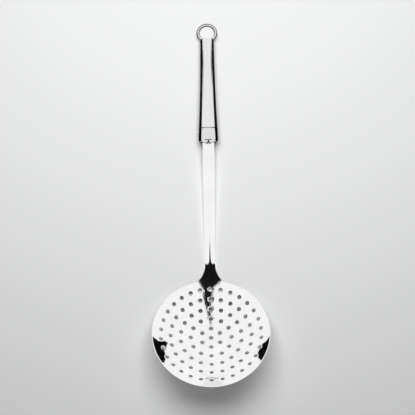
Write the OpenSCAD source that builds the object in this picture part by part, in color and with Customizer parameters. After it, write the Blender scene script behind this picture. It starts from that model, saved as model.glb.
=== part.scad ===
// Perforated skimmer with a hollow tapered handle and a hanging ring, lying on its back.
// +Y runs along the handle to the ring, +Z is up, and Z = 0 is the surface it lies on.

/* [Dish] */
// Diameter of the dish across its rim
dish_d = 120; // [110:1:130]
// Depth of the dish below its rim
dish_depth = 14.4; // [13:0.1:16]
// Tilt of the rim against the handle, in degrees
dish_tilt = 35; // [32:0.5:38]
// Thickness of the steel sheet that the blade is pressed from
sheet_t = 1.2; // [1:0.1:1.6]

/* [Perforations] */
// Diameter of one drain hole
hole_d = 4.3; // [2.5:0.1:5.5]
// Spacing of the hole circles, measured along the sheet
hole_pitch = 10.5; // [9:0.1:10.8]
// Number of hole circles round the middle hole
hole_circles = 5; // [1:1:5]

/* [Neck and shaft] */
// Distance along the handle from the ferrule's face to the middle of the dish
blade_reach = 202; // [180:1:230]
// Width of the shaft where it leaves the ferrule
shaft_w_ferrule = 12.9; // [11:0.1:14]
// Width of the shaft above the neck
shaft_w_neck = 11.5; // [9:0.1:12.5]
// Angle of each half of the shaft's shallow crease
shaft_crease = 6; // [2:0.5:10]
// Width of the neck where it meets the rim
neck_w = 27.8; // [22:0.2:36]
// Radius of the flare on each side of the neck
neck_flare_r = 23; // [18:1:32]

/* [Tang] */
// Width of the tang inside the handle
tang_w = 8; // [5:0.5:10]
// Length of the tang behind the ferrule's face
tang_len = 52; // [35:1:55]

/* [Ferrule] */
// Length of the ferrule that shows
ferrule_len = 15.2; // [12:0.1:22]
// Radius of the ferrule's rounded nose
nose_r = 3.2; // [1:0.1:4]
// Distance of the raised bead from the handle tube
bead_inset = 1.3; // [1.2:0.1:3]
// Radius of the bead's round section
bead_r = 1.1; // [0.6:0.1:1.2]
// Height of the bead above the ferrule
bead_proud = 0.35; // [0.1:0.05:0.5]
// Length of the spigot that is pressed into the tube
spigot_len = 8; // [5:0.5:12]

/* [Handle tube] */
// Length of the tube
tube_len = 93.2; // [80:0.5:120]
// Outer radius of the tube at its open mouth
mouth_r = 7.05; // [6.8:0.05:8]
// Growth of the radius per length at the mouth
taper_slope = 0.005; // [0:0.001:0.02]
// Radius of the long arc that the tube flares on
taper_arc_r = 2045; // [1500:5:4000]
// Wall of the tube
tube_wall = 1; // [0.8:0.1:1.2]
// Radius of the two side notches in the mouth that the ring swings in
notch_r = 3.4; // [3.2:0.1:3.8]
// Distance of the notches' centre outside the mouth
notch_out = 0.5; // [0.3:0.1:0.8]

/* [Hanging ring] */
// Diameter of the ring's wire
wire_d = 2.5; // [2:0.1:2.6]
// Radius of the ring, to the middle of the wire
ring_r = 9.45; // [9.2:0.05:11]
// Clearance of the wire in the eye
eye_gap = 0.2; // [0.15:0.05:0.3]
// Metal left round the eye
eye_wall = 0.9; // [0.7:0.1:1.2]
// Width of the tongue that holds the eye
tongue_w = 4.4; // [3:0.1:5]
// Distance of the eye's centre inside the mouth
eye_inset = 1.3; // [1:0.1:1.6]
// Depth of the plug's face inside the mouth
plug_inset = 5.5; // [5:0.5:10]
// Thickness of the plug that carries the tongue
plug_t = 3; // [2:0.5:6]

/* [Tang filler] */
// Length of the cast filler that holds the tang
filler_len = 34; // [15:1:45]

/* [Fits] */
// Clearance between pieces that are pressed or cast together
fit_gap = 0.05; // [0.02:0.01:0.1]

/* [Hidden] */

$fn = 64;
sphere_fn = 256;
hole_fn = 24;
taper_steps = 16;
nose_steps = 8;
flare_steps = 12;
cut_over = 1;

rim_r = dish_d / 2;
sphere_in = (rim_r * rim_r + dish_depth * dish_depth) / (2 * dish_depth);
sphere_out = sphere_in + sheet_t;
sphere_mid = sphere_in + sheet_t / 2;
rim_angle = asin(rim_r / sphere_in);

// Places along the handle are counted from the ferrule's face.
mouth_y = ferrule_len + tube_len;
function outer_r(y) =
    let (s = mouth_y - y)
    mouth_r + taper_slope * s + s * s / (2 * taper_arc_r);
function inner_r(y) = outer_r(y) - tube_wall;
function along(y0, y1, steps) = [for (i = [0:steps]) y0 + (y1 - y0) * i / steps];

// The handle lies on its mouth and on its ferrule, so its axis dips towards the ring.
bead_y = ferrule_len - bead_inset;
nose_slope = (outer_r(nose_r) - mouth_r) / (mouth_y - nose_r);
bead_slope = (outer_r(bead_y) + bead_proud - mouth_r) / (mouth_y - bead_y);
handle_dip = atan(max(nose_slope, bead_slope));
axis_z = mouth_r * cos(handle_dip) + mouth_y * sin(handle_dip);

// The bottom of the neck touches the same surface.
sphere_y = -blade_reach + sphere_in * sin(dish_tilt);
sphere_z = sphere_out;

// The shaft runs straight from the ferrule's face and meets the neck's curve as a tangent.
slot_to_centre = norm([sphere_y, sphere_z - axis_z]);
slot_bearing = atan2(sphere_z - axis_z, sphere_y);
shaft_rise = slot_bearing - 180 + asin(sphere_mid / slot_to_centre);
shaft_start_y = sphere_y + sphere_mid * sin(shaft_rise);
shaft_start_z = sphere_z - sphere_mid * cos(shaft_rise);
shaft_len = -shaft_start_y / cos(shaft_rise);
shaft_overlap = 3;
shaft_seat = 6;

// The neck's corners lie on the rim, and its flares are tangent to the shaft.
rim_centre_y = sphere_y - sphere_in * cos(rim_angle) * sin(dish_tilt);
corner_x = neck_w / 2;
corner_y = rim_centre_y + sqrt(rim_r * rim_r - corner_x * corner_x) * cos(dish_tilt);
flare_x = shaft_w_neck / 2 + neck_flare_r;
flare_y = corner_y + sqrt(pow(neck_flare_r, 2) - pow(flare_x - corner_x, 2));
flare_end = atan2(flare_y - corner_y, flare_x - corner_x);
neck_overlap = 8;

// The ring lies on the surface with its far side, and its near side passes through the eye.
wire_r = wire_d / 2;
eye_sag = ring_r - sqrt(ring_r * ring_r - tongue_w * tongue_w / 4);
eye_r = wire_r + eye_sag / 2 + eye_gap;
tongue_r = eye_r + eye_wall;
eye_y = mouth_y - eye_inset;
eye_z = axis_z - eye_y * sin(handle_dip);
ring_reach = ring_r - eye_sag / 2;
ring_droop = asin((eye_z - wire_r) / (ring_reach + ring_r));

// The middle of the whole length stands at Y = 0.
low_y = sphere_y - sphere_out * sin(dish_tilt + rim_angle);
high_y = eye_y * cos(handle_dip) + (ring_reach + ring_r) * cos(ring_droop) + wire_r;
middle_y = (low_y + high_y) / 2;

module in_place() {
    translate([0, -middle_y, 0]) children();
}

// Lays a shape that is drawn along the handle's axis onto that dipping axis.
module along_handle() {
    translate([0, 0, axis_z]) rotate([-handle_dip, 0, 0]) children();
}

// Turns a profile of radius and distance along the handle about the handle's axis.
module about_axis() {
    rotate([-90, 0, 0]) rotate_extrude($fn = 96) children();
}

module at_sphere() {
    translate([0, sphere_y, sphere_z]) children();
}

module sheet_sphere() {
    difference() {
        sphere(r = sphere_out, $fn = sphere_fn);
        sphere(r = sphere_in, $fn = sphere_fn);
    }
}

// Cone from the sphere's centre that cuts the dish square to its sheet.
module dish_cone() {
    cone_h = sphere_out + cut_over;
    rotate([180 - dish_tilt, 0, 0])
        cylinder(h = cone_h, r1 = 0, r2 = cone_h * tan(rim_angle), $fn = sphere_fn);
}

module half_outline_to_plan(points) {
    mirrored = [for (i = [len(points) - 1:-1:0]) [-points[i][0], points[i][1]]];
    polygon(concat(points, mirrored));
}

// Plan of the shaft, which widens evenly towards the ferrule.
module shaft_plan(grow) {
    half_outline_to_plan([
        [shaft_w_neck / 2 + grow, shaft_start_y - 2 * shaft_overlap],
        [shaft_w_neck / 2 + grow, shaft_start_y],
        [shaft_w_ferrule / 2 + grow, 0],
        [shaft_w_ferrule / 2 + grow, shaft_seat + cut_over]
    ]);
}

// Plan of the neck, from inside the dish to the start of the shaft.
module neck_plan() {
    flare = [for (i = [0:flare_steps])
        let (a = 180 + flare_end * (1 - i / flare_steps))
        [flare_x + neck_flare_r * cos(a), flare_y + neck_flare_r * sin(a)]];
    half_outline_to_plan(concat(
        [[corner_x - neck_overlap / 2, corner_y - neck_overlap]],
        flare,
        [[shaft_w_neck / 2, shaft_start_y]]
    ));
}

module drain_holes() {
    for (k = [0:hole_circles]) {
        count = max(1, 6 * k);
        for (i = [0:count - 1])
            rotate([0, 0, 360 * i / count])
                rotate([hole_pitch * k / sphere_in * 180 / PI, 0, 0])
                    translate([0, 0, -sphere_out - cut_over])
                        cylinder(h = sheet_t + 2 * cut_over, d = hole_d, $fn = hole_fn);
    }
}

// Creased strip along the shaft. Grown, it is the slot that the shaft fills in the ferrule.
module shaft_strip(grow) {
    half_w = shaft_w_ferrule / 2 + 2 * cut_over;
    edge_z = half_w * tan(shaft_crease);
    half_t = sheet_t / 2 + grow;
    intersection() {
        translate([0, shaft_start_y, shaft_start_z])
            rotate([shaft_rise, 0, 0])
                translate([0, shaft_len + shaft_seat, 0])
                    rotate([90, 0, 0])
                        linear_extrude(height = shaft_len + shaft_seat + shaft_overlap)
                            polygon([
                                [-half_w, edge_z + half_t],
                                [0, half_t],
                                [half_w, edge_z + half_t],
                                [half_w, edge_z - half_t],
                                [0, -half_t],
                                [-half_w, edge_z - half_t]
                            ]);
        linear_extrude(height = 2 * axis_z) shaft_plan(grow);
    }
}

module tang(grow) {
    tang_start = shaft_seat / 2;
    translate([-tang_w / 2 - grow, tang_start, -sheet_t / 2 - grow])
        cube([tang_w + 2 * grow, tang_len - tang_start + grow, sheet_t + 2 * grow]);
}

// The dish, neck, shaft and tang are one pressing.
module blade() {
    color("silver") in_place() {
        difference() {
            intersection() {
                at_sphere() sheet_sphere();
                union() {
                    at_sphere() dish_cone();
                    translate([0, 0, -cut_over])
                        linear_extrude(height = axis_z + cut_over) neck_plan();
                }
            }
            at_sphere() rotate([-dish_tilt, 0, 0]) drain_holes();
        }
        shaft_strip(0);
        along_handle() tang(0);
    }
}

// Turned collar with a rounded nose, a raised bead and a spigot inside the tube.
module ferrule() {
    nose = [for (i = [0:nose_steps])
        let (a = -90 + 90 * i / nose_steps)
        [outer_r(nose_r) - nose_r + nose_r * cos(a), nose_r + nose_r * sin(a)]];
    side = [for (y = along(nose_r, ferrule_len, taper_steps / 4)) [outer_r(y), y]];
    spigot = [for (y = along(ferrule_len, ferrule_len + spigot_len, taper_steps / 4))
        [inner_r(y) - fit_gap, y]];
    color("gainsboro") in_place() difference() {
        along_handle() about_axis() {
            polygon(concat(
                [[0, 0]], nose, side, spigot, [[0, ferrule_len + spigot_len]]
            ));
            translate([outer_r(bead_y) + bead_proud - bead_r, bead_y])
                circle(r = bead_r, $fn = 32);
        }
        shaft_strip(fit_gap);
        along_handle() tang(fit_gap);
    }
}

// Hollow tube on a long flaring arc, open and notched at the ring's end.
module handle_tube() {
    ys = along(ferrule_len, mouth_y, taper_steps);
    outside = [for (y = ys) [outer_r(y), y]];
    inside = [for (i = [taper_steps:-1:0]) [inner_r(ys[i]), ys[i]]];
    color("lightgray") in_place() along_handle() difference() {
        about_axis() polygon(concat(outside, inside));
        translate([-2 * mouth_r, mouth_y + notch_out, 0])
            rotate([0, 90, 0]) cylinder(h = 4 * mouth_r, r = notch_r);
    }
}

// Resin cast round the tang behind the ferrule.
module tang_filler() {
    start = ferrule_len + spigot_len;
    ys = along(start, start + filler_len, taper_steps / 2);
    side = [for (y = ys) [inner_r(y) - fit_gap, y]];
    color("dimgray") in_place() along_handle() difference() {
        about_axis() polygon(concat([[0, start]], side, [[0, start + filler_len]]));
        tang(fit_gap);
    }
}

// Plug pressed into the mouth, with a tongue that carries the eye.
module ring_plug() {
    face_y = mouth_y - plug_inset;
    disc_r = inner_r(face_y) - fit_gap;
    color("darkgray") in_place() along_handle() difference() {
        union() {
            translate([0, face_y - plug_t, 0])
                rotate([-90, 0, 0]) cylinder(h = plug_t, r = disc_r);
            translate([-tongue_w / 2, face_y - plug_t / 2, -tongue_r])
                cube([tongue_w, eye_y - face_y + plug_t / 2, 2 * tongue_r]);
            translate([-tongue_w / 2, eye_y, 0])
                rotate([0, 90, 0]) cylinder(h = tongue_w, r = tongue_r);
        }
        translate([-tongue_w, eye_y, 0])
            rotate([0, 90, 0]) cylinder(h = 2 * tongue_w, r = eye_r);
    }
}

// Closed wire ring, which swings in the eye and rests on the surface.
module hanging_ring() {
    color("whitesmoke") in_place()
        translate([0, eye_y * cos(handle_dip), eye_z])
            rotate([-ring_droop, 0, 0])
                translate([0, ring_reach, 0])
                    rotate_extrude($fn = 96) translate([ring_r, 0]) circle(r = wire_r, $fn = 32);
}

blade();
ferrule();
handle_tube();
tang_filler();
ring_plug();
hanging_ring();
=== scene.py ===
from math import acos, asin, atan2, cos, degrees, pi, radians, sin, sqrt, tan

import bpy
import numpy as np
from mathutils import Matrix, Vector
from mathutils.geometry import delaunay_2d_cdt


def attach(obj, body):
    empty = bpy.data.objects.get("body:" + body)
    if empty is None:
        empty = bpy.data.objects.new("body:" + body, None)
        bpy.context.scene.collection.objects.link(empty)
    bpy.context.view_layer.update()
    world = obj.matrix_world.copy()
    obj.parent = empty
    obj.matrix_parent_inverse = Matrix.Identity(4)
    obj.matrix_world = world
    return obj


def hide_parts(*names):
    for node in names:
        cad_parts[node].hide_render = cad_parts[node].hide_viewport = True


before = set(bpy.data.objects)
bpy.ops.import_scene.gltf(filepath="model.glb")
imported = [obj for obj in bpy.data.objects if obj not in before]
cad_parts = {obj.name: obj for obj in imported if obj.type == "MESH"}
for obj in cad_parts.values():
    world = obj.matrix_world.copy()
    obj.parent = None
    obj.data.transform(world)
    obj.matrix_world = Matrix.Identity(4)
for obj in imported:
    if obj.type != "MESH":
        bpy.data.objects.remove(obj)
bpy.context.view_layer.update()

# The blade's blank: dish, neck and shaft in one piece.
# It is pressed from one sheet of stainless steel 1.2 mm thick, with edges broken by polishing.
# The dish and the neck lie on one sphere, and the shaft leaves it straight, stiffened by a crease.
mm = 0.001
sheet = 1.2 * mm
dish_radius = 60 * mm
dish_depth = 14.4 * mm
dish_tilt = radians(35)
sphere_radius = (dish_radius ** 2 + dish_depth ** 2) / (2 * dish_depth)
rim_angle = asin(dish_radius / sphere_radius)
mid_radius = sphere_radius + sheet / 2
sphere_centre = np.array((0, -67.266, 133.4)) * mm
shaft_rise = radians(4.684)
shaft_start = sphere_centre[1] + mid_radius * sin(shaft_rise)
ferrule_face = np.array((0, 58.907, 10.493)) * mm
crease_angle = radians(6)
crease_round = 0.15 * mm
crease_widening = 1.0 * mm
crease_widens_from = -38 * mm
crease_widens_to = -66 * mm
crease_from = -80 * mm
crease_to = -60 * mm
shaft_half_ferrule = 6.45 * mm
shaft_half_neck = 5.75 * mm
neck_half = 13.9 * mm
flare_radius = 23 * mm
edge_round = 0.4 * mm
edge_steps = 6
rim_steps = 281
flare_steps = 16
row_gap = 1.5 * mm


def smooth_step(low, high, value):
    """Goes smoothly from 0 at low to 1 at high."""
    t = np.clip((value - low) / (high - low), 0, 1)
    return t * t * (3 - 2 * t)


def blade_height(x, y):
    """Height of the middle of the sheet above the table."""
    from_centre = y - sphere_centre[1]
    bowl = sphere_centre[2] - np.sqrt(np.maximum(mid_radius ** 2 - x ** 2 - from_centre ** 2, 0))
    bowl_spine = sphere_centre[2] - np.sqrt(np.maximum(mid_radius ** 2 - from_centre ** 2, 0))
    start_z = sphere_centre[2] - mid_radius * cos(shaft_rise)
    straight = start_z + (y - shaft_start) * tan(shaft_rise)
    on_bowl = y < shaft_start
    spine = np.where(on_bowl, bowl_spine, straight)
    dished = np.where(on_bowl, bowl - bowl_spine, mid_radius - np.sqrt(mid_radius ** 2 - x ** 2))
    rounding = crease_round + crease_widening * smooth_step(
        crease_widens_from, crease_widens_to, y)
    creased = (np.sqrt(x ** 2 + rounding ** 2) - rounding) * tan(crease_angle)
    fade = smooth_step(crease_from, crease_to, y)
    return spine + dished * (1 - fade) + creased * fade


def blade_normal(x, y):
    """Direction square to the sheet, pointing up."""
    step = 0.02 * mm
    slope_x = (blade_height(x + step, y) - blade_height(x - step, y)) / (2 * step)
    slope_y = (blade_height(x, y + step) - blade_height(x, y - step)) / (2 * step)
    normal = np.stack([-slope_x, -slope_y, np.ones_like(slope_x)], axis=-1)
    return normal / np.linalg.norm(normal, axis=-1, keepdims=True)


def rim_point(turn):
    """Plan place of a point of the rim, turned about the dish's axis from +X."""
    reach = mid_radius * sin(rim_angle)
    centre_y = sphere_centre[1] - mid_radius * cos(rim_angle) * sin(dish_tilt)
    return (reach * cos(turn), centre_y + reach * cos(dish_tilt) * sin(turn))


corner_turn = acos(neck_half / (mid_radius * sin(rim_angle)))
corner = rim_point(corner_turn)
flare_x = shaft_half_neck + flare_radius
flare_y = corner[1] + sqrt(flare_radius ** 2 - (flare_x - corner[0]) ** 2)
flare_angle = atan2(flare_y - corner[1], flare_x - corner[0])


def half_width(y):
    """Half the width of the shaft and neck at a place along the blade."""
    shaft = np.interp(y, [shaft_start, ferrule_face[1]], [shaft_half_neck, shaft_half_ferrule])
    below = np.clip(flare_y - y, 0, flare_radius)
    return np.where(y < flare_y, flare_x - np.sqrt(flare_radius ** 2 - below ** 2), shaft)


shaft_end = ferrule_face[1] + 3 * mm
side = [(float(half_width(y)), y) for y in np.arange(shaft_end, flare_y, -row_gap)]
flare = [(flare_x - flare_radius * cos(a), flare_y - flare_radius * sin(a))
         for a in np.linspace(0, flare_angle, flare_steps)[:-1]]
rim_turns = np.linspace(corner_turn, -pi - corner_turn, rim_steps)
right_side = side + flare
outline = ([rim_point(t) for t in rim_turns] + [(-x, y) for x, y in reversed(right_side)]
           + right_side)
outline = np.array(outline[::-1])

# Each point of the outline is carried round the sheet's edge, from its upper to its lower face.
edge_points = np.column_stack([outline, blade_height(outline[:, 0], outline[:, 1])])
edge_normals = blade_normal(outline[:, 0], outline[:, 1])
along_edge = np.roll(edge_points, -1, axis=0) - np.roll(edge_points, 1, axis=0)
outward = np.cross(along_edge, edge_normals)
outward /= np.linalg.norm(outward, axis=1, keepdims=True)
inset = (edge_points - outward * edge_round)[:, :2]

# Points inside the outline: circles over the dish, and rows over the neck and shaft.
dish_circles = 30
circle_gap = 1.95
spoke_gap = 2.1
rows_from = -75.3 * mm
row_places = (0, 0.25, 0.6, 1.2, 2.2, 3.4, 4.6, 6.2, 8)
inner_points = []
for ring in range(dish_circles):
    polar = ring * circle_gap * mm / mid_radius
    spokes = max(1, round(ring * circle_gap * 2 * pi / spoke_gap))
    for spoke in range(spokes):
        around = spoke * 2 * pi / spokes
        local = Vector((sin(around) * sin(polar), cos(around) * sin(polar), -cos(polar)))
        place = Matrix.Rotation(-dish_tilt, 3, "X") @ local * mid_radius
        inner_points.append((place.x, place.y + sphere_centre[1]))
for y in np.arange(rows_from, shaft_end - 0.8 * mm, row_gap):
    reach = float(half_width(y)) - edge_round - 0.7 * mm
    for x in row_places:
        if x * mm < reach:
            inner_points += [(x * mm, y), (-x * mm, y)] if x else [(0, y)]

# The points are joined into triangles, once for the upper face and once for the lower one.
count = len(outline)
plan = [Vector(p) for p in inset] + [Vector(p) for p in inner_points]
loop = [(i, (i + 1) % count) for i in range(count)]
flat, _, triangles, source, _, _ = delaunay_2d_cdt(plan, loop, [], 1, 1e-7)
flat = np.array([tuple(p) for p in flat])
edge_vertex = {origin: i for i, origins in enumerate(source) for origin in origins if origin < count}
flat_z = blade_height(flat[:, 0], flat[:, 1])
flat_normals = blade_normal(flat[:, 0], flat[:, 1])
middle = np.column_stack([flat, flat_z])
upper = middle + flat_normals * sheet / 2
lower = middle - flat_normals * sheet / 2
vertices = [*upper, *lower]
total = len(flat)
faces = [tuple(t) for t in triangles] + [tuple(total + v for v in reversed(t)) for t in triangles]
strips = [[edge_vertex[i] for i in range(count)]]
for step in range(1, edge_steps):
    turn = pi * step / edge_steps
    strips.append([len(vertices) + i for i in range(count)])
    vertices += list(edge_points + outward * edge_round * (sin(turn) - 1)
                     + edge_normals * sheet / 2 * cos(turn))
strips.append([total + edge_vertex[i] for i in range(count)])
for above, below in zip(strips, strips[1:]):
    for i in range(count):
        j = (i + 1) % count
        faces.append((above[i], below[i], below[j], above[j]))


def new_piece(name, vertices, faces):
    """A smooth object from its points and faces."""
    mesh = bpy.data.meshes.new(name)
    mesh.from_pydata([tuple(v) for v in vertices], [], [tuple(f) for f in faces])
    mesh.validate()
    mesh.shade_smooth()
    piece = bpy.data.objects.new(name, mesh)
    bpy.context.scene.collection.objects.link(piece)
    return piece


blade = new_piece("skimmer_blade", vertices, faces)


# The drain holes: one in the middle of the dish and five circles of 6, 12, 18, 24 and 30.
# They are punched from inside the dish, so their upper edges are drawn down and rounded.
# The tree makes one punch with a flared waist, sets it square to the dish at each hole and cuts.
class Wire:
    """One output of a node, so that the maths of a node tree reads as ordinary sums."""

    def __init__(self, tree, socket=None):
        self.tree = tree
        self.socket = socket

    def add(self, kind, settings=None, sockets=None, output=0):
        """Adds a node with its settings first and then the values or links of its sockets."""
        node = self.tree.nodes.new(kind)
        for key, value in (settings or {}).items():
            if key == "stops":
                for stop, (place, level) in zip(node.color_ramp.elements, value):
                    stop.position = place
                    stop.color = (level, level, level, 1)
            else:
                setattr(node, key, value)
        for key, value in (sockets or {}).items():
            if isinstance(value, Wire):
                self.tree.links.new(value.socket, node.inputs[key])
            else:
                node.inputs[key].default_value = value
        return Wire(self.tree, node.outputs[output] if len(node.outputs) else None)

    def sum(self, operation, *values):
        """One step of maths with the values given."""
        return self.add("ShaderNodeMath", {"operation": operation}, dict(enumerate(values)))

    def __add__(self, other):
        return self.sum("ADD", self, other)

    def __sub__(self, other):
        return self.sum("SUBTRACT", self, other)

    def __rsub__(self, other):
        return self.sum("SUBTRACT", other, self)

    def __mul__(self, other):
        return self.sum("MULTIPLY", self, other)

    def __truediv__(self, other):
        return self.sum("DIVIDE", self, other)

    def __gt__(self, other):
        return self.sum("GREATER_THAN", self, other)

    def __lt__(self, other):
        return self.sum("LESS_THAN", self, other)

    __radd__ = __add__
    __rmul__ = __mul__

    def split(self):
        """The X, Y and Z of a vector."""
        parts = self.add("ShaderNodeSeparateXYZ", sockets={"Vector": self})
        return [Wire(self.tree, socket) for socket in parts.socket.node.outputs]

    def vector(self, x, y, z):
        """A vector from three values."""
        return self.add("ShaderNodeCombineXYZ", sockets={"X": x, "Y": y, "Z": z})


hole_radius = 2.15 * mm
hole_pitch = 10.5 * mm
hole_circles = 5
upper_lip = 0.5 * mm
lower_lip = 0.3 * mm
lip_depth = sheet / 2 * 1.03
punch_overshoot = 2 * mm
hole_inputs = {
    "Hole circles": ("NodeSocketInt", hole_circles),
    "Hole radius": ("NodeSocketFloat", hole_radius),
    "Hole pitch": ("NodeSocketFloat", hole_pitch),
    "Upper lip": ("NodeSocketFloat", upper_lip),
    "Lower lip": ("NodeSocketFloat", lower_lip),
    "Lip depth": ("NodeSocketFloat", lip_depth),
    "Dish sphere radius": ("NodeSocketFloat", sphere_radius),
    "Sheet": ("NodeSocketFloat", sheet),
}
punching = bpy.data.node_groups.new("punch the drain holes", "GeometryNodeTree")
punching.interface.new_socket("Geometry", in_out="INPUT", socket_type="NodeSocketGeometry")
hole_sockets = {}
for name, (kind, value) in hole_inputs.items():
    hole_sockets[name] = punching.interface.new_socket(name, in_out="INPUT", socket_type=kind)
punching.interface.new_socket("Geometry", in_out="OUTPUT", socket_type="NodeSocketGeometry")
bench = Wire(punching)
given = bench.add("NodeGroupInput").socket.node.outputs
blank = Wire(punching, given["Geometry"])
circles, radius, pitch, lip_above, lip_below, depth, ball, thickness = (
    Wire(punching, given[name]) for name in hole_inputs)

# The punch: a cylinder whose rings are moved onto two quarter-ellipses that meet at its waist.
quarter_rings = 6
punch = bench.add("GeometryNodeMeshCylinder", sockets={
    "Vertices": 28, "Side Segments": 2 * quarter_rings + 2, "Radius": 1.0, "Depth": 2.0})
across, up, height = bench.add("GeometryNodeInputPosition").split()
quarter_share = quarter_rings / (quarter_rings + 1)
reach = (height / quarter_share).sum("MINIMUM", height / quarter_share, 1.0)
reach = reach.sum("MAXIMUM", reach, -1.0)
swing = reach * (pi / 2)
lip = lip_below + (lip_above - lip_below) * (height > 0.0)
waist = radius + lip * (1.0 - swing.sum("COSINE", swing))
beyond = (height - reach * quarter_share) * (punch_overshoot * (quarter_rings + 1))
lift = depth * swing.sum("SINE", swing) + beyond + waist * waist / (ball * 2.0)
shaped = bench.add("GeometryNodeSetPosition", sockets={
    "Geometry": punch, "Position": bench.vector(across * waist, up * waist, lift)})

# The places: each hole's number gives its circle, its turn in the circle and its polar angle.
number = bench.add("GeometryNodeInputIndex")
circle = (((number * 12.0 + 9.0).sum("SQRT", number * 12.0 + 9.0) - 3.0) / 6.0) - 0.001
circle = circle.sum("CEIL", circle)
first = circle * (circle - 1.0) * 3.0 + 1.0
per_circle = (circle * 6.0).sum("MAXIMUM", circle * 6.0, 1.0)
turn = (number - first) * (2 * pi) / per_circle
polar = circle * pitch / ball
sine = polar.sum("SINE", polar)
away = bench.vector(turn.sum("SINE", turn) * sine, turn.sum("COSINE", turn) * sine,
                    polar.sum("COSINE", polar) * -1.0)
places = bench.add("GeometryNodePoints", sockets={
    "Count": circles * (circles + 1.0) * 3.0 + 1.0,
    "Position": bench.add("ShaderNodeVectorMath", {"operation": "SCALE"}, {
        0: away, "Scale": ball + thickness / 2.0})})
inward = bench.add("ShaderNodeVectorMath", {"operation": "SCALE"}, {0: away, "Scale": -1.0})
facing = bench.add("FunctionNodeAlignRotationToVector", {"axis": "Z"}, {"Vector": inward})
punches = bench.add("GeometryNodeInstanceOnPoints", sockets={
    "Points": places, "Instance": shaped, "Rotation": facing})
set_up = bench.add("GeometryNodeTransform", sockets={
    "Geometry": bench.add("GeometryNodeRealizeInstances", sockets={"Geometry": punches}),
    "Rotation": (-dish_tilt, 0, 0), "Translation": tuple(sphere_centre)})
pierced = bench.add("GeometryNodeMeshBoolean", {"operation": "DIFFERENCE", "solver": "MANIFOLD"}, {
    "Mesh 1": blank, "Mesh 2": set_up})
polished_steel = bpy.data.materials.new("mirror polished steel")
finished = bench.add("GeometryNodeSetMaterial", sockets={
    "Geometry": bench.add("GeometryNodeRealizeInstances", sockets={"Geometry": pierced}),
    "Material": polished_steel})
bench.add("NodeGroupOutput", sockets={"Geometry": finished})

press = blade.modifiers.new("drain holes", "NODES")
press.node_group = punching
for name, (kind, value) in hole_inputs.items():
    press[hole_sockets[name].identifier] = value


def settle(piece):
    """Turns a piece and its modifiers into one plain mesh."""
    graph = bpy.context.evaluated_depsgraph_get()
    mesh = bpy.data.meshes.new_from_object(piece.evaluated_get(graph))
    piece.modifiers.clear()
    piece.data = mesh
    mesh.shade_smooth()


settle(blade)

# Mirror polish shows every error of a normal, so each one is worked out from the true shape.
points = np.array([tuple(v.co) for v in blade.data.vertices])
middle_z = blade_height(points[:, 0], points[:, 1])
from_sphere = sphere_centre - points
sphere_gap = np.linalg.norm(from_sphere, axis=1)
on_dish = points[:, 1] < shaft_start
sheet_up = np.where(on_dish[:, None] & (points[:, 1] < crease_from)[:, None],
                    from_sphere / sphere_gap[:, None],
                    blade_normal(points[:, 0], points[:, 1]))
above_middle = np.where(points[:, 1] < crease_from, mid_radius - sphere_gap,
                        (points[:, 2] - middle_z) * sheet_up[:, 2])
normals = sheet_up * np.sign(above_middle)[:, None]

# Round the sheet's edge the normal turns from the upper face to the lower one.
batch = 4000
for first_point in range(0, len(points), batch):
    part = slice(first_point, first_point + batch)
    reach_3d = points[part, None, :] - edge_points[None, :, :]
    nearest = np.argmin(np.linalg.norm(reach_3d, axis=2), axis=1)
    offset = points[part] - edge_points[nearest]
    out = np.sum(offset * outward[nearest], axis=1) + edge_round
    rise = np.sum(offset * edge_normals[nearest], axis=1)
    rounded = out > 1e-6
    turned = (outward[nearest] * (out / edge_round ** 2)[:, None]
              + edge_normals[nearest] * (rise / (sheet / 2) ** 2)[:, None])
    turned /= np.linalg.norm(turned, axis=1, keepdims=True)
    normals[part][rounded] = turned[rounded]

# In a hole it follows the two quarter-ellipses of the punch.
hole_axes = []
for ring in range(hole_circles + 1):
    for spoke in range(max(1, 6 * ring)):
        around = spoke * 2 * pi / max(1, 6 * ring)
        polar = ring * hole_pitch / sphere_radius
        local = Vector((sin(around) * sin(polar), cos(around) * sin(polar), -cos(polar)))
        hole_axes.append(tuple(Matrix.Rotation(-dish_tilt, 3, "X") @ local))
hole_axes = np.array(hole_axes)
for axis in hole_axes:
    offset = points - (sphere_centre + axis * mid_radius)
    rise = -offset @ axis
    radial = offset + rise[:, None] * axis
    gap = np.linalg.norm(radial, axis=1)
    rise -= gap ** 2 / (2 * sphere_radius)
    lip = np.where(rise > 0, upper_lip, lower_lip)
    inside = (gap < hole_radius + lip * 1.02) & (np.abs(rise) < sheet)
    swing = np.arcsin(np.clip(rise / (sheet / 2), -1, 1))
    turned = (-(radial / np.maximum(gap, 1e-9)[:, None]) * (lip_depth * np.cos(swing))[:, None]
              - axis * (lip * np.sin(swing))[:, None])
    turned /= np.maximum(np.linalg.norm(turned, axis=1, keepdims=True), 1e-9)
    normals[inside] = turned[inside]
blade.data.normals_split_custom_set_from_vertices([tuple(n) for n in normals])


def finish_of(material, look):
    """Gives a material its surface: look adds nodes and returns the sockets of the shader."""
    material.use_nodes = True
    material.node_tree.nodes.clear()
    start = Wire(material.node_tree)
    place = start.add("ShaderNodeTexCoord", output=3)
    surface = start.add("ShaderNodeBsdfPrincipled", sockets=look(start, place))
    start.add("ShaderNodeOutputMaterial", sockets={"Surface": surface})


def cloudiness(start, place, scale, detail=2.0):
    """Soft noise from 0 to 1 at a place."""
    return start.add("ShaderNodeTexNoise", {"noise_dimensions": "3D"}, {
        "Vector": place, "Scale": scale, "Detail": detail})


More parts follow.
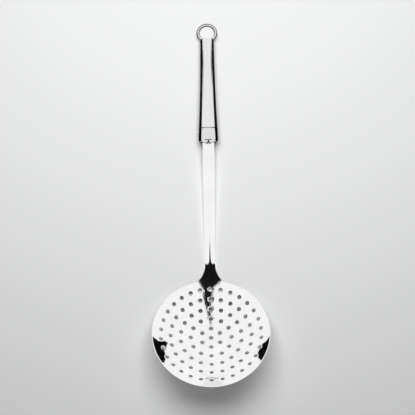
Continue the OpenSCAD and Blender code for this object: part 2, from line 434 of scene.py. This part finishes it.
def mirror_look(start, place):
    haze = cloudiness(start, place, 60.0, 4.0)
    fine = cloudiness(start, place, 900.0, 2.0)
    level = start.add("ShaderNodeValToRGB", {"stops": ((0.3, 0.84), (0.7, 0.88))}, {"Fac": haze})
    ripple = start.add("ShaderNodeBump", sockets={
        "Strength": 0.03, "Distance": 0.0002, "Height": fine})
    return {"Base Color": level, "Metallic": 1.0, "Roughness": haze * 0.02 + 0.02,
            "Normal": ripple}


finish_of(polished_steel, mirror_look)
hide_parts("blade")
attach(blade, "utensil")

# The ferrule: a turned and polished steel collar at the head of the handle.
# Its nose is rounded, a fine bead stands just before the tube, and a slot takes the shaft.
# Its spigot is pressed into the tube, out of sight.
handle_dip = radians(1.8219)
ferrule_length = 15.2
tube_length = 93.2
mouth_radius = 7.05
nose_round = 3.2
bead_place = 13.9
bead_round = 1.1
bead_height = 0.35
spigot_step = 1.05
spigot_radius = 8.2
spigot_length = 8.0
seam = 0.12
# Width of the painted shade along the collar's joint with the tube, in mm.
joint_painted_shade = 0.55
mouth_slope = 0.005
flare_arc = 2045
mouth = ferrule_length + tube_length


def handle_radius(y):
    """Outer radius of the handle, in mm, at a distance from the ferrule's face."""
    from_mouth = mouth - y
    return mouth_radius + mouth_slope * from_mouth + from_mouth ** 2 / (2 * flare_arc)


def on_handle(points):
    """Carries points drawn in mm along the handle's axis to their place on the dipping handle."""
    turn = np.array(Matrix.Rotation(-handle_dip, 3, "X"))
    return np.array(points, dtype=float) * mm @ turn.T + ferrule_face


def turned_piece(name, profile, segments=96):
    """A closed turned piece from a closed profile of radius and place along the handle."""
    points = []
    faces = []
    steps = len(profile)
    for i in range(segments):
        turn = 2 * pi * i / segments
        points += [(r * sin(turn), y, r * cos(turn)) for r, y in profile]
        for j in range(steps):
            k = (j + 1) % steps
            after = (i + 1) % segments
            faces.append((i * steps + j, i * steps + k, after * steps + k, after * steps + j))
    return new_piece(name, on_handle(points), faces)


def arc(centre, radius, start, end, steps):
    """Points of an arc in a profile, its angles counted from outward towards the ring."""
    angles = np.radians(np.linspace(start, end, steps + 1))
    return [(centre[0] + radius * cos(a), centre[1] + radius * sin(a)) for a in angles]


def cut(piece, name, vertices, faces):
    """Cuts a shape out of a piece and keeps the rest as a plain mesh."""
    tool = new_piece(name, vertices, faces)
    knife = piece.modifiers.new("cut", "BOOLEAN")
    knife.operation = "DIFFERENCE"
    knife.solver = "EXACT"
    knife.object = tool
    settle(piece)
    bpy.data.objects.remove(tool)


axle_hole = 0.4
nose_radius = handle_radius(nose_round)
bead_centre = handle_radius(bead_place) + bead_height - bead_round
bead_half = degrees(acos((bead_round - bead_height) / bead_round))
ferrule_profile = (
    [(axle_hole, 0.0), (3.0, 0.0)]
    + arc((nose_radius - nose_round, nose_round), nose_round, -90, 0, 16)
    + [(handle_radius(y), y) for y in np.linspace(nose_round + 0.8, bead_place - 1.4, 10)]
    + arc((bead_centre, bead_place), bead_round, -bead_half, bead_half, 12)
    + [(handle_radius(ferrule_length), ferrule_length - seam)]
    + [(handle_radius(ferrule_length) - seam, ferrule_length)]
    + [(handle_radius(ferrule_length) - spigot_step, ferrule_length),
       (spigot_radius, ferrule_length + spigot_length),
       (axle_hole, ferrule_length + spigot_length)])
ferrule = turned_piece("handle_ferrule", ferrule_profile)
polished_collar = bpy.data.materials.new("polished collar steel")
ferrule.data.materials.append(polished_collar)


def collar_look(start, place):
    rings = start.add("ShaderNodeTexNoise", {"noise_dimensions": "3D"}, {
        "Vector": start.add("ShaderNodeMapping", sockets={"Vector": place, "Scale": (40, 3000, 40)}),
        "Scale": 1.0, "Detail": 3.0})
    level = start.add("ShaderNodeValToRGB", {"stops": ((0.3, 0.68), (0.7, 0.74))}, {"Fac": rings})
    _, along, up = place.split()
    # A thin band of painted shade darkens the collar's colour where it meets the tube, for the shade
    # in the seam.
    along = ((along - ferrule_face[1]) * cos(handle_dip) - (up - ferrule_face[2]) * sin(handle_dip))
    level = level * (1.0 - (along > (ferrule_length - joint_painted_shade) * mm) * 0.9)
    ripple = start.add("ShaderNodeBump", sockets={
        "Strength": 0.05, "Distance": 0.0001, "Height": rings})
    return {"Base Color": level, "Metallic": 1.0, "Roughness": rings * 0.06 + 0.06,
            "Normal": ripple}


finish_of(polished_collar, collar_look)
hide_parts("ferrule")
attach(ferrule, "utensil")

# The handle tube: drawn stainless steel with a wall of 1 mm, flared on a long arc to the ferrule.
# Its outside is satin ground lengthwise. Its mouth is open and notched on both sides,
# so that the ring's wire can swing in it.
wall = 1.0
notch_radius = 3.4
notch_out = 0.5
lip_round = 0.3
notch_reach = 12
notch_turns = 48
outside = [(handle_radius(y), y) for y in np.linspace(ferrule_length + seam, mouth - lip_round, 60)]
inside = [(handle_radius(y) - wall, y) for y in np.linspace(mouth - lip_round, ferrule_length, 30)]
tube_profile = (
    [(handle_radius(ferrule_length) - seam, ferrule_length)] + outside
    + arc((mouth_radius - lip_round, mouth - lip_round), lip_round, 15, 90, 4)
    + arc((mouth_radius - wall + lip_round, mouth - lip_round), lip_round, 90, 165, 4)
    + inside)
tube = turned_piece("handle_tube_shell", tube_profile, 128)
notch = [(x, mouth + notch_out + notch_radius * cos(2 * pi * i / notch_turns),
          notch_radius * sin(2 * pi * i / notch_turns))
         for x in (-notch_reach, notch_reach) for i in range(notch_turns)]
notch_faces = [tuple(range(notch_turns)), tuple(range(2 * notch_turns - 1, notch_turns - 1, -1))]
notch_faces += [(i, i + notch_turns, (i + 1) % notch_turns + notch_turns, (i + 1) % notch_turns)
                for i in range(notch_turns)]
cut(tube, "notch_tool", on_handle(notch), notch_faces)
tube.data.set_sharp_from_angle(angle=radians(35))
satin_steel = bpy.data.materials.new("lengthwise satin steel")
tube.data.materials.append(satin_steel)


def satin_look(start, place):
    grain = start.add("ShaderNodeTexNoise", {"noise_dimensions": "3D"}, {
        "Vector": start.add("ShaderNodeMapping", sockets={
            "Vector": place, "Scale": (1600, 14, 1600)}),
        "Scale": 1.0, "Detail": 4.0})
    broad = start.add("ShaderNodeTexNoise", {"noise_dimensions": "3D"}, {
        "Vector": start.add("ShaderNodeMapping", sockets={"Vector": place, "Scale": (350, 5, 350)}),
        "Scale": 1.0, "Detail": 2.0})
    level = start.add("ShaderNodeValToRGB", {"stops": ((0.25, 0.70), (0.75, 0.84))},
                      {"Fac": grain * 0.5 + broad * 0.5})
    ripple = start.add("ShaderNodeBump", sockets={
        "Strength": 0.12, "Distance": 0.00005, "Height": grain})
    return {"Base Color": level, "Metallic": 1.0, "Roughness": grain * 0.12 + 0.12,
            "Normal": ripple}


finish_of(satin_steel, satin_look)
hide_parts("handle_tube")
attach(tube, "utensil")

# The tang filler: dark resin cast round the tang inside the handle, out of sight.
# Its CAD solid already has the true shape, so it only gets its material.
cast_resin = bpy.data.materials.new("cast resin")


def resin_look(start, place):
    flow = cloudiness(start, place, 180.0, 5.0)
    level = start.add("ShaderNodeValToRGB", {"stops": ((0.3, 0.02), (0.7, 0.05))}, {"Fac": flow})
    pores = start.add("ShaderNodeBump", sockets={
        "Strength": 0.3, "Distance": 0.0002, "Height": flow})
    return {"Base Color": level, "Roughness": flow * 0.3 + 0.45, "Normal": pores}


finish_of(cast_resin, resin_look)
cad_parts["tang_filler"].data.materials.clear()
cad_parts["tang_filler"].data.materials.append(cast_resin)

# The ring plug: a steel disc pressed into the mouth, with a tongue that ends in the ring's eye.
# The tongue is stamped with the disc, and its edges are broken by tumbling.
plug_face = mouth - 5.5
plug_thickness = 3.0
eye = mouth - 1.3
eye_hole = 1.58
eye_metal = 0.9
tongue_half = 2.2
tongue_root = 1.5
disc_chamfer = 0.4
disc_play = 0.05
drill_reach = 6
hole_steps = 32
disc_radius = handle_radius(plug_face) - wall - disc_play
plug_profile = [(axle_hole, plug_face - plug_thickness), (disc_radius, plug_face - plug_thickness),
                (disc_radius, plug_face - disc_chamfer), (disc_radius - disc_chamfer, plug_face),
                (axle_hole, plug_face)]
plug = turned_piece("ring_plug_body", plug_profile, 64)
tongue_radius = eye_hole + eye_metal
tip = [(eye + tongue_radius * cos(a), tongue_radius * sin(a))
       for a in np.radians(np.linspace(-90, 90, 25))]
tongue_side = ([(plug_face - tongue_root, -tongue_radius)] + tip
               + [(plug_face - tongue_root, tongue_radius)])
steps = len(tongue_side)
hole_side = [(eye + eye_hole * cos(2 * pi * i / hole_steps), eye_hole * sin(2 * pi * i / hole_steps))
             for i in range(hole_steps)]
tongue_points = [(x, y, z) for x in (-tongue_half, tongue_half) for y, z in tongue_side]
tongue_faces = [tuple(range(steps - 1, -1, -1)), tuple(range(steps, 2 * steps))]
tongue_faces += [(i, (i + 1) % steps, (i + 1) % steps + steps, i + steps) for i in range(steps)]
tongue = new_piece("ring_plug_tongue", on_handle(tongue_points), tongue_faces)
drill_points = [(x, y, z) for x in (-drill_reach, drill_reach) for y, z in hole_side]
drill_faces = [tuple(range(hole_steps - 1, -1, -1)), tuple(range(hole_steps, 2 * hole_steps))]
drill_faces += [(i, (i + 1) % hole_steps, (i + 1) % hole_steps + hole_steps, i + hole_steps)
                for i in range(hole_steps)]
cut(tongue, "eye_drill", on_handle(drill_points), drill_faces)
soften = tongue.modifiers.new("broken edges", "BEVEL")
soften.width = 0.35 * mm
soften.segments = 3
soften.limit_method = "ANGLE"
soften.angle_limit = radians(50)
settle(tongue)
tumbled_steel = bpy.data.materials.new("tumbled steel")


def tumbled_look(start, place):
    peen = cloudiness(start, place, 700.0, 3.0)
    level = start.add("ShaderNodeValToRGB", {"stops": ((0.3, 0.70), (0.7, 0.80))}, {"Fac": peen})
    dents = start.add("ShaderNodeBump", sockets={
        "Strength": 0.15, "Distance": 0.0001, "Height": peen})
    return {"Base Color": level, "Metallic": 1.0, "Roughness": peen * 0.15 + 0.14,
            "Normal": dents}


finish_of(tumbled_steel, tumbled_look)
for piece in (plug, tongue):
    piece.data.set_sharp_from_angle(angle=radians(40))
    piece.data.materials.append(tumbled_steel)
    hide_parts("ring_plug")
    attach(piece, "utensil")

# The hanging ring: round steel wire of 2.5 mm, bent to a ring, butt-welded and polished.
# It runs loose in the eye and lies on the table with its far side.
wire_radius = 1.25
ring_radius = 9.45
eye_sag = ring_radius - sqrt(ring_radius ** 2 - tongue_half ** 2)
ring_reach = ring_radius - eye_sag / 2
eye_place = on_handle([(0, eye, 0)])[0]
ring_droop = asin((eye_place[2] - wire_radius * mm) / ((ring_reach + ring_radius) * mm))
weld_swell = 0.035
weld_width = 0.05
bends = 96
rounds = 20
ring_turn = np.array(Matrix.Rotation(-ring_droop, 3, "X"))
ring_points = []
ring_faces = []
for i in range(bends):
    bend = 2 * pi * i / bends
    weld = 1 + weld_swell * np.exp(-((bend - pi / 2) / weld_width) ** 2)
    for j in range(rounds):
        roll = 2 * pi * j / rounds
        reach = ring_radius + wire_radius * weld * cos(roll)
        ring_points.append((reach * sin(bend), ring_reach + reach * cos(bend),
                            wire_radius * weld * sin(roll)))
        after = (i + 1) % bends
        beside = (j + 1) % rounds
        ring_faces.append((i * rounds + j, i * rounds + beside,
                           after * rounds + beside, after * rounds + j))
ring_points = np.array(ring_points) * mm @ ring_turn.T + eye_place
ring = new_piece("hanging_ring_wire", ring_points, ring_faces)
wire_steel = bpy.data.materials.new("polished wire steel")
ring.data.materials.append(wire_steel)


def wire_look(start, place):
    drawn = cloudiness(start, place, 400.0, 3.0)
    level = start.add("ShaderNodeValToRGB", {"stops": ((0.3, 0.80), (0.7, 0.87))}, {"Fac": drawn})
    marks = start.add("ShaderNodeBump", sockets={
        "Strength": 0.05, "Distance": 0.0001, "Height": drawn})
    return {"Base Color": level, "Metallic": 1.0, "Roughness": drawn * 0.08 + 0.06,
            "Normal": marks}


finish_of(wire_steel, wire_look)
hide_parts("hanging_ring")
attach(ring, "ring")

# The table, the camera and the light of a plain product photograph, taken straight down.
# Polished steel only shows what stands round it, so white surrounds it on all sides and pieces
# of black card draw the dark neck, the two patches in the dish and the bands along the handle.
white_tent = 1.04
table_glow = 1.05
screen_glow = 1.03
room_light = 0.05
backdrop = 0.75
camera_data = bpy.data.cameras.new("overhead camera")
camera_data.sensor_width = 36
camera_data.lens = 78.0
camera = bpy.data.objects.new("overhead camera", camera_data)
camera.location = (-0.0019, -0.009, 0.9513)
camera.rotation_euler = (0, 0, radians(-0.8))
bpy.context.scene.collection.objects.link(camera)
bpy.context.scene.camera = camera


def flat_stage(name, corners, material):
    """A flat thing of the studio with the corners given."""
    piece = new_piece(name, corners, [tuple(range(len(corners)))])
    piece.data.materials.append(material)
    return piece


# For the steel's reflections the table is as white as the tent round it.
table_paint = bpy.data.materials.new("pale table")
table_paint.use_nodes = True
table_paint.cycles.emission_sampling = "NONE"
table_paint.node_tree.nodes.clear()
start = Wire(table_paint.node_tree)
rays = start.add("ShaderNodeLightPath")
is_glossy = Wire(table_paint.node_tree, rays.socket.node.outputs["Is Glossy Ray"])
painted = start.add("ShaderNodeBsdfDiffuse", sockets={"Color": (0.80, 0.805, 0.81, 1)})
shining = start.add("ShaderNodeEmission", sockets={"Color": (1, 1, 1, 1), "Strength": table_glow})
either = start.add("ShaderNodeMixShader", sockets={0: is_glossy, 1: painted, 2: shining})
start.add("ShaderNodeOutputMaterial", sockets={"Surface": either})
flat_stage("table", [(-2, -2, 0), (2, -2, 0), (2, 2, 0), (-2, 2, 0)], table_paint)

# Black card and white card, seen by the steel's reflections alone.
black_paper = bpy.data.materials.new("black card")
black_paper.use_nodes = True
black_paper.node_tree.nodes.clear()
start = Wire(black_paper.node_tree)
dull = start.add("ShaderNodeBsdfDiffuse", sockets={"Color": (0.012, 0.012, 0.012, 1)})
start.add("ShaderNodeOutputMaterial", sockets={"Surface": dull})

white_paper = bpy.data.materials.new("white card")
white_paper.use_nodes = True
white_paper.cycles.emission_sampling = "NONE"
white_paper.node_tree.nodes.clear()
start = Wire(white_paper.node_tree)
shining = start.add("ShaderNodeEmission", sockets={"Color": (1, 1, 1, 1), "Strength": screen_glow})
start.add("ShaderNodeOutputMaterial", sockets={"Surface": shining})


def card(name, corners, paper=black_paper):
    """A card that only the steel's reflections see. The corners are in millimetres."""
    piece = flat_stage(name, [(x * mm, y * mm, z * mm) for x, y, z in corners], paper)
    for rays_of in ("camera", "diffuse", "transmission", "volume_scatter", "shadow"):
        setattr(piece, "visible_" + rays_of, False)


# Over the neck: it blackens the neck and runs out as a thin wedge into the dish.
card("card over the neck", [(x, y, 100) for x, y in (
    (10, -110), (10, -75), (9, -67.6), (5.4, -66.2), (4.3, -63.4), (3.5, -60.7), (3.7, -54.9),
    (2.6, -51), (0.5, -31), (0, -31), (0.2, -51), (-0.5, -57.7), (-1.1, -62.7), (-3.1, -64.3),
    (-5.6, -66.8), (-9, -67.6), (-10, -75), (-10, -110))])
# Behind the handle's end on both sides: these make the two black patches under the far rim.
card("right card behind", [(x, 190, z) for x, z in (
    (138, 0), (143, 48), (160, 75), (158, 125), (174, 128), (201, 106), (229, 113), (300, 90),
    (300, 0))])
card("left card behind", [(x, 190, z) for x, z in (
    (-144, 0), (-141, 26), (-142, 46), (-150, 59), (-174, 88), (-202, 92), (-228, 108), (-300, 85),
    (-300, 0))])
# Round the handle: the strips that draw the dark bands along its sides and round the ring.
strip_out = 17
strip_from = 52
strip_to = 190
above_table = 0.1
for side in (-1, 1):
    card("strip beside the handle", [
        (side * strip_out, strip_from, 0), (side * strip_out, strip_to, 0),
        (side * strip_out, strip_to, 12), (side * strip_out, strip_from, 18)])
card("strip over the collar's nose", [
    (-9, 57.4, 24), (9, 57.4, 24), (9, 60.6, 24), (-9, 60.6, 24)])
card("slip before the collar's nose", [
    (-1, 57.3, 12.5), (1, 57.3, 12.5), (1, 57.3, 23.5), (-1, 57.3, 23.5)])
card("strip before the collar", [
    (-strip_out, 42, above_table), (strip_out, 42, above_table),
    (strip_out, strip_from, above_table), (-strip_out, strip_from, above_table)])
card("strip behind the ring", [
    (-strip_out, strip_to, 0), (strip_out, strip_to, 0),
    (strip_out, strip_to, 12), (-strip_out, strip_to, 12)])
card("strip under the handle", [
    (-strip_out, strip_from, above_table), (strip_out, strip_from, above_table),
    (strip_out, strip_to, above_table), (-strip_out, strip_to, above_table)])
# White screens hide those strips from the dish.
for side in (-1, 1):
    card("white screen", [(side * x, 40, z) for x, z in (
        (0, 13), (7, 13), (7, 0), (24, 0), (24, 36), (0, 36))], white_paper)
# Under the dish, for the walls of the holes.
card("card under the dish", [
    (50 * cos(turn), -125 + 50 * sin(turn), above_table)
    for turn in np.linspace(0, 2 * pi, 48, False)])

# The tent: white for the steel and for the camera, and almost dark for the table, so that the
# soft box alone draws the shadows.
world = bpy.data.worlds.new("white tent")
bpy.context.scene.world = world
world.use_nodes = True
world.node_tree.nodes.clear()
start = Wire(world.node_tree)
rays = start.add("ShaderNodeLightPath")
is_glossy = Wire(world.node_tree, rays.socket.node.outputs["Is Glossy Ray"])
is_camera = Wire(world.node_tree, rays.socket.node.outputs["Is Camera Ray"])
level = is_glossy * (white_tent - room_light) + is_camera * backdrop + room_light
glow = start.add("ShaderNodeBackground", sockets={"Color": (1, 1, 1, 1), "Strength": level})
start.add("ShaderNodeOutputWorld", sockets={"Surface": glow})

lamp_data = bpy.data.lights.new("large soft box", "AREA")
lamp_data.shape = "RECTANGLE"
lamp_data.size = 0.7
lamp_data.size_y = 0.5
lamp_data.energy = 10.8
lamp = bpy.data.objects.new("large soft box", lamp_data)
lamp.location = (0, 0.4, 0.9)
lamp.rotation_euler = (radians(-24), 0, 0)
lamp.visible_glossy = False
bpy.context.scene.collection.objects.link(lamp)

bpy.context.scene.view_settings.view_transform = "Standard"
